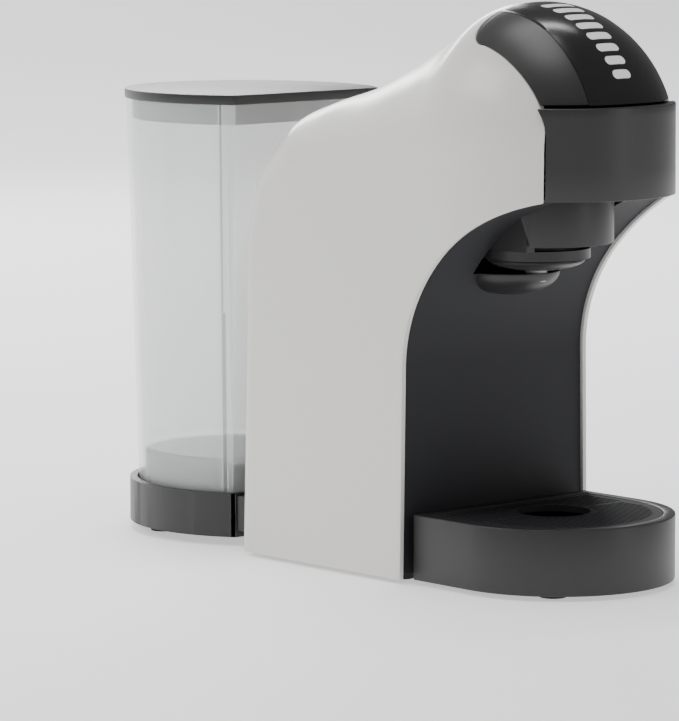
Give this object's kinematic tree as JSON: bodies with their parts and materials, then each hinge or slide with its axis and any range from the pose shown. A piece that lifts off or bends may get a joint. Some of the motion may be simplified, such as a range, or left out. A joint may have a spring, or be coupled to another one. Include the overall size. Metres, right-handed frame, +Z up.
{
  "type": "pod coffee machine",
  "caption": "Slim pod coffee machine: pearl shell, black head with a lift-up lever hood, pull-out pod holder, round drip tray and a clear lift-off water tank on a rear dock.",
  "frame": {"origin": "bottom centre of the bounding box, on the surface the machine stands on", "axes": "+Z up, +X to the right of the machine as seen from its front, the front faces -Y"},
  "size_m": [0.12, 0.3274, 0.2625],
  "materials": {
    "pearl": "satin pearl lacquer",
    "satin_black": "satin",
    "matt_black": "matt",
    "gloss_black": "gloss",
    "clear_tank": "clear plastic, modelled as glass",
    "light_white": "translucent white",
    "steel": "brushed",
    "alloy": "cast",
    "rubber": "matt",
    "silicone": "soft satin",
    "circuit_board": "solder resist",
    "pale_plastic": "satin"
  },
  "bodies": {
    "machine_body": {"outer_shell": "pearl", "rear_panel": "satin_black", "front_panel": "matt_black", "head_fascia": "satin_black", "head_core": "matt_black", "base_plate": "matt_black", "tank_dock": "satin_black", "lever_pin": "steel", "brew_housing": "satin_black", "outlet_dish": "satin_black", "spout_housing": "satin_black", "outlet_nozzle": "silicone", "pump": "alloy", "pump_bracket": "rubber", "thermoblock": "alloy", "flow_meter": "pale_plastic", "inlet_hose": "silicone", "pump_hose": "silicone", "brew_hose": "silicone", "main_board": "circuit_board", "switch_bezel": "satin_black", "cord_gland": "rubber", "body_foot_left": "rubber", "dock_foot_left": "rubber", "body_foot_right": "rubber", "dock_foot_right": "rubber", "base_screw_1": "steel", "base_screw_2": "steel", "base_screw_3": "steel", "base_screw_4": "steel"},
    "lever": {"lever_hood": "satin_black", "control_strip": "gloss_black", "control_board": "circuit_board", "light_bar_1": "light_white", "light_bar_2": "light_white", "light_bar_3": "light_white", "light_bar_4": "light_white", "light_bar_5": "light_white", "light_bar_6": "light_white", "light_bar_7": "light_white", "light_bar_8": "light_white"},
    "press": {"press_plate": "alloy", "piercing_needle": "steel", "pod_gasket": "silicone"},
    "pod_drawer": {"pod_holder": "matt_black", "pod_grip": "satin_black"},
    "drip_tray": {"tray_base": "satin_black", "tray_foot_left": "rubber", "tray_foot_right": "rubber"},
    "grid": {"cup_grid": "matt_black"},
    "tank": {"water_tank": "clear_tank", "valve_spring": "steel"},
    "lid": {"tank_lid": "satin_black"},
    "valve": {"tank_valve": "satin_black", "valve_seal": "silicone"},
    "rocker": {"power_rocker": "matt_black"}
  },
  "joints": [
    {"name": "lever_hinge", "type": "hinge", "parent": "machine_body", "child": "lever", "pos_m": [0, -0.10405, 0.254], "axis": [-1, 0, 0], "range_deg": [0, 55]},
    {"name": "press_slide", "type": "slide", "parent": "machine_body", "child": "press", "axis": [0, 0, 1], "range_m": [0, 0.007]},
    {"name": "pod_drawer_slide", "type": "slide", "parent": "machine_body", "child": "pod_drawer", "axis": [0, -1, 0], "range_m": [0, 0.1]},
    {"name": "drip_tray_slide", "type": "slide", "parent": "machine_body", "child": "drip_tray", "axis": [0, -1, 0], "range_m": [0, 0.12]},
    {"name": "cup_grid_lift", "type": "slide", "parent": "drip_tray", "child": "grid", "axis": [0, 0, 1], "range_m": [0, 0.06]},
    {"name": "water_tank_lift", "type": "slide", "parent": "machine_body", "child": "tank", "axis": [0, 0, 1], "range_m": [0, 0.2]},
    {"name": "tank_lid_lift", "type": "slide", "parent": "tank", "child": "lid", "axis": [0, 0, 1], "range_m": [0, 0.08]},
    {"name": "tank_valve_slide", "type": "slide", "parent": "tank", "child": "valve", "axis": [0, 0, 1], "range_m": [0, 0.0025], "stiffness_N_per_m": 150, "springref_m": -0.002, "deforming": ["valve_spring"]},
    {"name": "power_rocker_hinge", "type": "hinge", "parent": "machine_body", "child": "rocker", "pos_m": [0.05464, 0.00575, 0.033], "axis": [0, 0, 1], "range_deg": [-7, 7]}
  ],
  "couplings": [
    {"joint": "lever_hinge", "follows": "press_slide", "rad_per_m": 137}
  ]
}
